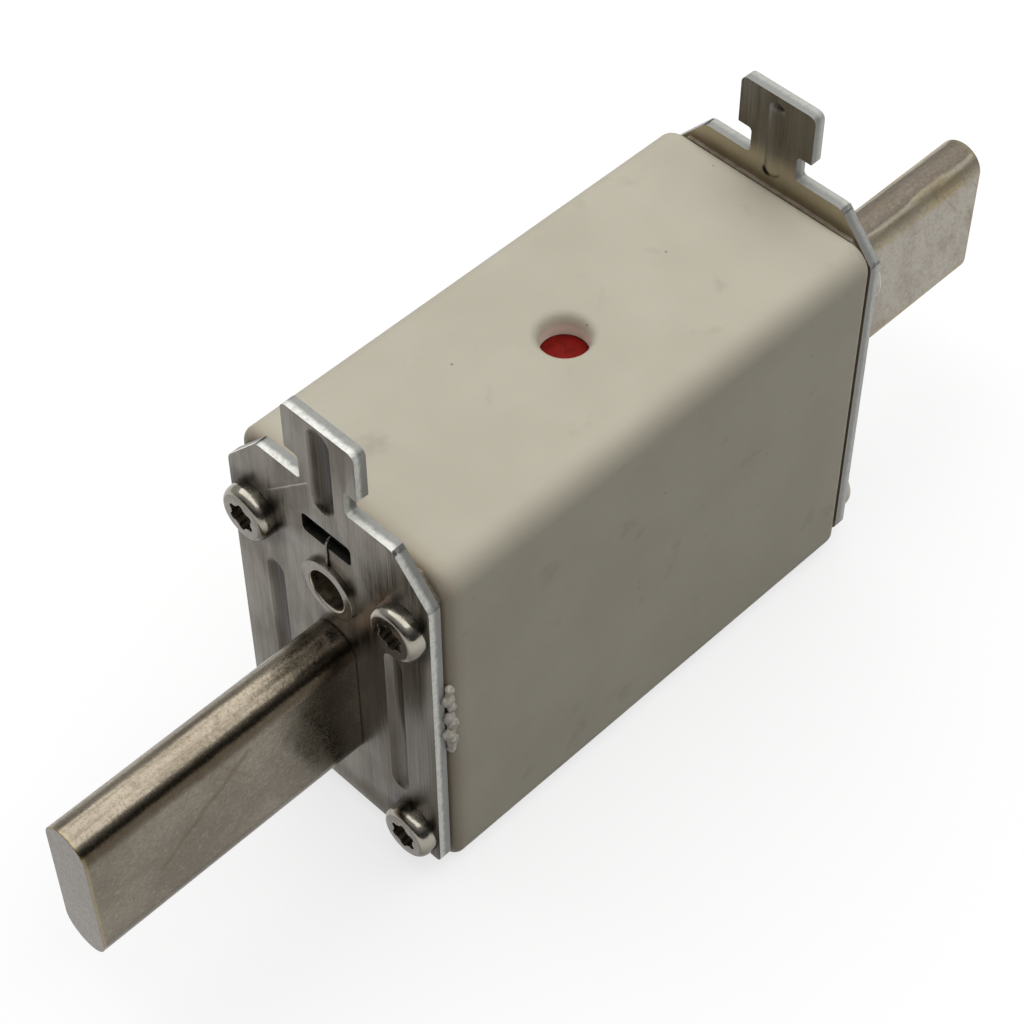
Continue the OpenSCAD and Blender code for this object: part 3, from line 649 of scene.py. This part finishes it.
def plain_finish(name, tones, size_mm, metallic, roughness, depth_mm, stretch=(1.0, 1.0, 1.0)):
    """A finish of two tones in grains of size_mm, with the same grains in its roughness and relief."""
    base, second = tones
    material, tree, shader, place = begin_material(name, base, metallic, roughness)
    pattern = grain(tree, place, size_mm, 4, stretch=stretch)
    spread = 0.07
    feed(
        tree,
        shader,
        Base_Color=painted(tree, base, (second, add_node(tree, "MapRange", pattern, 0.38, 0.66, **SMOOTH))),
        Roughness=add_node(
            tree, "MapRange", pattern, 0.3, 0.7, roughness - spread, roughness + spread, **SMOOTH
        ),
        Normal=soft_normal(tree, pattern, depth_mm),
    )
    return material


def finish_node(name, material):
    """Gives a CAD node its finish."""
    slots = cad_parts[name].data.materials
    slots.clear()
    slots.append(material)


def piece_from_node(node, name):
    """A new piece that starts as a copy of a CAD node's mesh, with its triangles merged into faces."""
    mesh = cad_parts[node].data.copy()
    mesh.name = name
    piece = bpy.data.objects.new(name, mesh)
    bpy.context.scene.collection.objects.link(piece)
    mesh.materials.clear()
    pick(piece)
    if mesh.has_custom_normals:
        bpy.ops.mesh.customdata_custom_splitnormals_clear()
    bpy.ops.object.mode_set(mode="EDIT")
    bpy.ops.mesh.select_all(action="SELECT")
    bpy.ops.mesh.remove_doubles(threshold=0.002 * MM)
    bpy.ops.mesh.dissolve_limited(angle_limit=math.radians(0.3))
    bpy.ops.object.mode_set(mode="OBJECT")
    return piece


def dress_node(piece, node, material):
    """Gives a piece its material and slot, and puts it in the place of a CAD node of the body."""
    piece.data.materials.append(material)
    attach(piece, "fuse_body")
    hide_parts(node)


def select_edges(piece, wanted):
    """Selects, for edit mode, the edges of piece that wanted(edge, its two faces) says yes to."""
    mesh = piece.data
    faces_at = {}
    for face in mesh.polygons:
        for key in face.edge_keys:
            faces_at.setdefault(key, []).append(face)
    for items in (mesh.vertices, mesh.edges, mesh.polygons):
        items.foreach_set("select", [False] * len(items))
    for edge in mesh.edges:
        faces = faces_at.get(edge.key, [])
        edge.select = len(faces) == 2 and wanted(edge, faces)


class FUSE_OT_ceramic(bpy.types.Operator):
    """Finish the ceramic body"""

    bl_idname = "fuse.ceramic"
    bl_label = "Ceramic body"

    def execute(self, context):
        finish_node("ceramic_body", steatite(context.scene.fuse_colours))
        return {"FINISHED"}


class FUSE_OT_end_plates(bpy.types.Operator):
    """Make the two pressed end plates with rolled edges"""

    bl_idname = "fuse.end_plates"
    bl_label = "End plates"

    def execute(self, context):
        roll = context.scene.fuse_sizes.edge_roll
        material = rolled_aluminium(context.scene.fuse_colours)
        for end, side in (("front", -1), ("rear", 1)):
            node = "end_plate_" + end
            finish_node(node, material)
            piece = piece_from_node(node, end + "_plate")

            def outer_edge(edge, faces, piece=piece, side=side):
                corners = (piece.data.vertices[v].co.x for v in edge.vertices)
                at_face = all(abs(x - side * FACE_X) < 0.01 * MM for x in corners)
                return at_face and faces[0].normal.angle(faces[1].normal) > math.radians(60)

            select_edges(piece, outer_edge)
            bpy.ops.object.mode_set(mode="EDIT")
            bpy.ops.mesh.bevel(offset=roll, segments=3, affect="EDGES", clamp_overlap=True)
            bpy.ops.object.mode_set(mode="OBJECT")
            bpy.ops.object.shade_smooth_by_angle(angle=math.radians(32))
            dress_node(piece, node, material)
        return {"FINISHED"}


class FUSE_OT_gaskets(bpy.types.Operator):
    """Finish the gaskets between plates and ceramic"""

    bl_idname = "fuse.gaskets"
    bl_label = "Gaskets"

    def execute(self, context):
        colours = context.scene.fuse_colours
        # Pressed fibre board: dull and dark, with short fibres.
        material = plain_finish(
            "pressed_fibre",
            (colours.gasket, colours.gasket_fibre),
            size_mm=0.5,
            metallic=0.0,
            roughness=0.85,
            depth_mm=0.03,
            stretch=(1, 3, 1),
        )
        for end in ("front", "rear"):
            finish_node("gasket_" + end, material)
        return {"FINISHED"}


class FUSE_OT_blades(bpy.types.Operator):
    """Finish the two contact blades"""

    bl_idname = "fuse.blades"
    bl_label = "Contact blades"

    def execute(self, context):
        material = tarnished_silver(context.scene.fuse_colours)
        for end in ("front", "rear"):
            finish_node("blade_" + end, material)
        return {"FINISHED"}


class FUSE_OT_screws(bpy.types.Operator):
    """Make the eight screws with the full rounding of a pan head, and finish the fill plug"""

    bl_idname = "fuse.screws"
    bl_label = "Screws and fill plug"

    def execute(self, context):
        colours = context.scene.fuse_colours
        # The screws' recesses take a darker tone: painted shade.
        screw_finish = nickel_plate(
            "nickel_plated_screw", colours, SCREW_AXES, colours.screw_recess_shade, SCREW_RECESS_RADIUS, 0.1
        )
        for end, side in (("front", -1), ("rear", 1)):
            node = "screws_" + end
            finish_node(node, screw_finish)
            piece = piece_from_node(node, end + "_screws")
            self.round_heads(piece, side)
            bpy.ops.object.shade_smooth_by_angle(angle=math.radians(40))
            dress_node(piece, node, screw_finish)
        low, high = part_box("fill_plug")
        plug_axes = (0.0, (low.z + high.z) / 2, 0.0)
        # The plug's cup takes a lighter tone: painted light.
        plug_finish = nickel_plate(
            "nickel_plated_plug", colours, plug_axes, colours.plug_recess_light, PLUG_BORE_RADIUS, 0.12
        )
        finish_node("fill_plug", plug_finish)
        return {"FINISHED"}

    def round_heads(self, piece, side):
        """Draws the solid's short rounding out to the full one of a pan head."""
        axis_y, middle_z, half_step = SCREW_AXES
        head_top = max(side * vertex.co.x for vertex in piece.data.vertices)
        slack = 0.01 * MM
        for vertex in piece.data.vertices:
            y0 = math.copysign(axis_y, vertex.co.y)
            z0 = middle_z + math.copysign(half_step, vertex.co.z - middle_z)
            dy, dz = vertex.co.y - y0, vertex.co.z - z0
            reach, sunk = math.hypot(dy, dz), head_top - side * vertex.co.x
            if sunk < SOLID_ROUNDING + slack and reach > HEAD_RADIUS - SOLID_ROUNDING - slack:
                grown = (HEAD_RADIUS - (HEAD_RADIUS - reach) * PAN_WIDE / SOLID_ROUNDING) / reach
                x = side * (head_top - sunk * PAN_TALL / SOLID_ROUNDING)
                vertex.co = (x, y0 + dy * grown, z0 + dz * grown)


class FUSE_OT_elements(bpy.types.Operator):
    """Finish the punched strips, the tin bars and the sand inside the ceramic"""

    bl_idname = "fuse.elements"
    bl_label = "Fuse elements and sand"

    def execute(self, context):
        colours = context.scene.fuse_colours
        # Rolled copper strip: fine lines along the strip, slightly browned.
        copper = plain_finish(
            "rolled_copper",
            (colours.copper, colours.copper_dark),
            size_mm=0.5,
            metallic=1.0,
            roughness=0.32,
            depth_mm=0.01,
            stretch=(20, 1, 1),
        )
        for name in ("inner_left", "inner_right", "outer_left", "outer_right"):
            finish_node("element_" + name, copper)
        # Tin, cast in place: soft and slightly wavy.
        tin = plain_finish(
            "cast_tin", (colours.tin, colours.tin_dark),
            size_mm=0.9, metallic=1.0, roughness=0.35, depth_mm=0.05,
        )
        finish_node("tin_bars", tin)
        # Quartz sand, compacted: pale grains about 0.4 mm across.
        sand = plain_finish(
            "quartz_sand", (colours.sand, colours.sand_dark),
            size_mm=0.4, metallic=0.0, roughness=0.8, depth_mm=0.2,
        )
        finish_node("quartz_sand", sand)
        return {"FINISHED"}


class FUSE_OT_indicator(bpy.types.Operator):
    """Finish the indicator and make its leaf spring"""

    bl_idname = "fuse.indicator"
    bl_label = "Blown fuse indicator"

    def execute(self, context):
        colours = context.scene.fuse_colours
        # Phenolic moulding, black: slightly dusty, half gloss.
        black = plain_finish(
            "black_phenolic", (colours.carrier, colours.carrier_dust),
            size_mm=0.7, metallic=0.0, roughness=0.62, depth_mm=0.02,
        )
        self.dull(black, 0.2)
        finish_node("indicator_carrier", black)
        # Polypropylene, dyed red: half gloss with a little dust.
        red = plain_finish(
            "red_polypropylene", (colours.button, colours.button_dark),
            size_mm=0.8, metallic=0.0, roughness=0.6, depth_mm=0.02,
        )
        self.dull(red, 0.08)
        finish_node("indicator_button", red)
        # Drawn steel wire: dark and slightly scratched along its length.
        wire = plain_finish(
            "drawn_steel_wire", (colours.wire, colours.wire_bright),
            size_mm=0.15, metallic=1.0, roughness=0.3, depth_mm=0.004,
        )
        for name in ("trip_wire_front", "trip_wire_link", "trip_wire_rear"):
            finish_node(name, wire)
        # Spring steel strip, blued: smooth with lines along its length.
        steel = plain_finish(
            "blued_spring_steel",
            (colours.spring, colours.spring_dark),
            size_mm=0.3,
            metallic=1.0,
            roughness=0.28,
            depth_mm=0.006,
            stretch=(20, 1, 1),
        )
        finish_node("indicator_leaf", steel)
        leaf = self.leaf(context.scene.fuse_sizes.leaf_steps)
        leaf.data.materials.append(steel)
        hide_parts("indicator_leaf")
        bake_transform(leaf)
        return {"FINISHED"}

    def dull(self, material, level):
        """Lowers the plastic's mirror reflection, as its moulded skin does."""
        for node in material.node_tree.nodes:
            if node.type == "BSDF_PRINCIPLED":
                node.inputs["Specular IOR Level"].default_value = level

    def leaf(self, steps):
        """The strip, flat as the wire holds it, with a round tip under the button."""
        low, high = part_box("indicator_leaf")
        half_width = (high.y - low.y) / 2
        deselect_all()
        bpy.ops.mesh.primitive_grid_add(x_subdivisions=steps, y_subdivisions=8, size=1)
        piece = bpy.context.object
        piece.name = piece.data.name = "leaf_spring"
        for vertex in piece.data.vertices:
            x = low.x + (vertex.co.x + 0.5) * (high.x - low.x)
            y = 2 * vertex.co.y * half_width
            if x < 0:
                y *= math.sqrt(max(0.0, 1 - (x / half_width) ** 2))
            vertex.co = (x, y, low.z)
        bpy.ops.object.mode_set(mode="EDIT")
        bpy.ops.mesh.select_all(action="SELECT")
        bpy.ops.mesh.remove_doubles(threshold=0.01 * MM)
        bpy.ops.mesh.extrude_region_move(TRANSFORM_OT_translate={"value": (0, 0, high.z - low.z)})
        bpy.ops.mesh.select_all(action="SELECT")
        bpy.ops.mesh.normals_make_consistent(inside=False)
        bpy.ops.object.mode_set(mode="OBJECT")
        bpy.ops.object.shade_smooth_by_angle(angle=math.radians(40))
        return piece


class FUSE_OT_cement(bpy.types.Operator):
    """Make the lumps of sealing cement pressed out of the front joint"""

    bl_idname = "fuse.cement"
    bl_label = "Sealing cement"

    def execute(self, context):
        sizes, colours = context.scene.fuse_sizes, context.scene.fuse_colours
        joint_x, side_y = -CERAMIC_X - 0.3 * MM, -CERAMIC_Y + 0.25 * MM
        deselect_all()
        made = []
        for along, height, wide, tall in CEMENT_LUMPS:
            spot = Vector((joint_x + along * MM, side_y, BLADE_AXIS_Z + height * MM))
            bpy.ops.mesh.primitive_ico_sphere_add(
                subdivisions=3, radius=MM, location=spot, scale=(wide, 0.5, tall)
            )
            made.append(bpy.context.object)
        for item in made:
            item.select_set(True)
        bpy.context.view_layer.objects.active = made[0]
        bpy.ops.object.join()
        piece = bpy.context.object
        piece.name = piece.data.name = "sealing_cement"
        bpy.ops.object.transform_apply(location=True, rotation=True, scale=True)
        remesh = piece.modifiers.new("merge", "REMESH")
        remesh.mode = "VOXEL"
        remesh.voxel_size = sizes.cement_grain
        bpy.ops.object.modifier_apply(modifier="merge")
        for vertex in piece.data.vertices:
            crumb = noise.noise(vertex.co / CRUMB_SIZE) * CRUMB_HEIGHT
            vertex.co += vertex.normal * crumb
        bpy.ops.object.shade_smooth()
        # Cement with fine filler, dried: pale and crumbly.
        pale = plain_finish(
            "dried_cement", (colours.cement, colours.cement_dark),
            size_mm=0.4, metallic=0.0, roughness=0.75, depth_mm=0.08,
        )
        piece.data.materials.append(pale)
        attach(piece, "fuse_body")
        return {"FINISHED"}


class FUSE_OT_stage(bpy.types.Operator):
    """Make the floor, the light and the camera"""

    bl_idname = "fuse.stage"
    bl_label = "Stage"

    def execute(self, context):
        sizes, colours = context.scene.fuse_sizes, context.scene.fuse_colours
        self.floor(sizes.floor_size, colours.floor)
        self.light()
        self.camera(sizes.camera_distance)
        context.scene.view_settings.view_transform = "Standard"
        return {"FINISHED"}

    def floor(self, size, colour):
        """A matte floor that shows itself white, so that it ends nowhere in the picture."""
        deselect_all()
        bpy.ops.mesh.primitive_plane_add(size=size, location=(0, 0, -0.05 * MM))
        floor = bpy.context.object
        floor.name = "floor"
        material = bpy.data.materials.new("pale_floor")
        material.use_nodes = True
        tree = material.node_tree
        tree.nodes.clear()
        # The glow is for rays that show the floor, straight, in metal or through glass, and lights nothing.
        path = add_node(tree, "LightPath").node.outputs
        shown = add_node(tree, "Math", path["Is Camera Ray"], path["Is Glossy Ray"], operation="MAXIMUM")
        shown = add_node(tree, "Math", shown, path["Is Transmission Ray"], operation="MAXIMUM")
        glow = add_node(tree, "Emission", WHITE, add_node(tree, "Math", shown, FLOOR_GLOW, **TIMES))
        both = add_node(tree, "AddShader", add_node(tree, "BsdfDiffuse", colour), glow)
        add_node(tree, "OutputMaterial", both)
        floor.data.materials.append(material)

    def light(self):
        """A dome that is brighter overhead and towards the photograph's left, and a softbox over the fuse."""
        world = bpy.data.worlds.new("studio")
        bpy.context.scene.world = world
        world.use_nodes = True
        tree = world.node_tree
        tree.nodes.clear()
        way = add_node(tree, "TexCoord").node.outputs["Generated"]
        _, across, height = add_node(tree, "SeparateXYZ", way).node.outputs
        overhead = add_node(tree, "MapRange", height, 0.3, 0.9, 0.06, 0.38, **SMOOTH)
        aside = add_node(tree, "MapRange", across, 0.3, 0.95, 0.0, 0.4, **SMOOTH)
        dome = add_node(tree, "Math", overhead, aside, **PLUS)
        add_node(tree, "OutputWorld", add_node(tree, "Background", WHITE, dome))
        deselect_all()
        away = Vector(LAMP_WAY).normalized()
        wide = Vector((0, 1, 0)).cross(away).normalized()
        bpy.ops.object.light_add(type="AREA")
        lamp = bpy.context.object
        lamp.name = "ceiling_softbox"
        turn = Matrix((wide, away.cross(wide), away)).transposed().to_4x4()
        lamp.matrix_world = Matrix.Translation(away * LAMP_DISTANCE + Vector((0, 0, BLADE_AXIS_Z))) @ turn
        lamp.data.shape = "RECTANGLE"
        lamp.data.size = LAMP_ACROSS
        lamp.data.size_y = LAMP_ALONG
        lamp.data.energy = LAMP_POWER

    def camera(self, distance):
        """The photograph's view of the fuse."""
        azimuth, elevation, roll = (math.radians(angle) for angle in CAMERA_ANGLES)
        reach = -math.cos(elevation)
        back = Vector((reach * math.cos(azimuth), reach * math.sin(azimuth), math.sin(elevation)))
        right = Vector((0, 0, 1)).cross(back).normalized()
        up = back.cross(right)
        across = right * math.cos(roll) + up * math.sin(roll)
        above = up * math.cos(roll) - right * math.sin(roll)
        middle = Vector((0, 0, BLADE_AXIS_Z))
        eye = middle + back * distance - across * AIM_ASIDE - above * AIM_BELOW
        deselect_all()
        bpy.ops.object.camera_add()
        camera = bpy.context.object
        turn = Matrix((across, above, back)).transposed().to_4x4()
        camera.matrix_world = Matrix.Translation(eye) @ turn
        camera.data.sensor_width = SENSOR_MM
        camera.data.lens = SENSOR_MM * FOCAL_PIXELS / FRAME_PIXELS
        camera.data.clip_start = 0.01
        camera.data.clip_end = 20
        bpy.context.scene.camera = camera


STEPS = (
    FUSE_OT_stage,
    FUSE_OT_ceramic,
    FUSE_OT_end_plates,
    FUSE_OT_gaskets,
    FUSE_OT_blades,
    FUSE_OT_screws,
    FUSE_OT_elements,
    FUSE_OT_indicator,
    FUSE_OT_cement,
)


class FUSE_PT_panel(bpy.types.Panel):
    """Sizes, colours and steps of the fuse link"""

    bl_idname = "FUSE_PT_panel"
    bl_label = "Knife blade fuse link"
    bl_space_type = "VIEW_3D"
    bl_region_type = "UI"
    bl_category = "Fuse link"

    def draw(self, context):
        for group in (context.scene.fuse_sizes, context.scene.fuse_colours):
            box = self.layout.box()
            for name in group.bl_rna.properties.keys():
                if name not in ("rna_type", "name"):
                    box.prop(group, name)
        for step in STEPS:
            self.layout.operator(step.bl_idname)


CLASSES = (FuseSizes, FuseColours, *STEPS, FUSE_PT_panel)


def register():
    for item in CLASSES:
        bpy.utils.register_class(item)
    bpy.types.Scene.fuse_sizes = bpy.props.PointerProperty(type=FuseSizes)
    bpy.types.Scene.fuse_colours = bpy.props.PointerProperty(type=FuseColours)


def unregister():
    del bpy.types.Scene.fuse_colours
    del bpy.types.Scene.fuse_sizes
    for item in reversed(CLASSES):
        bpy.utils.unregister_class(item)


def main():
    register()
    for step in STEPS:
        group, name = step.bl_idname.split(".")
        getattr(getattr(bpy.ops, group), name)()


if __name__ == "__main__":
    main()
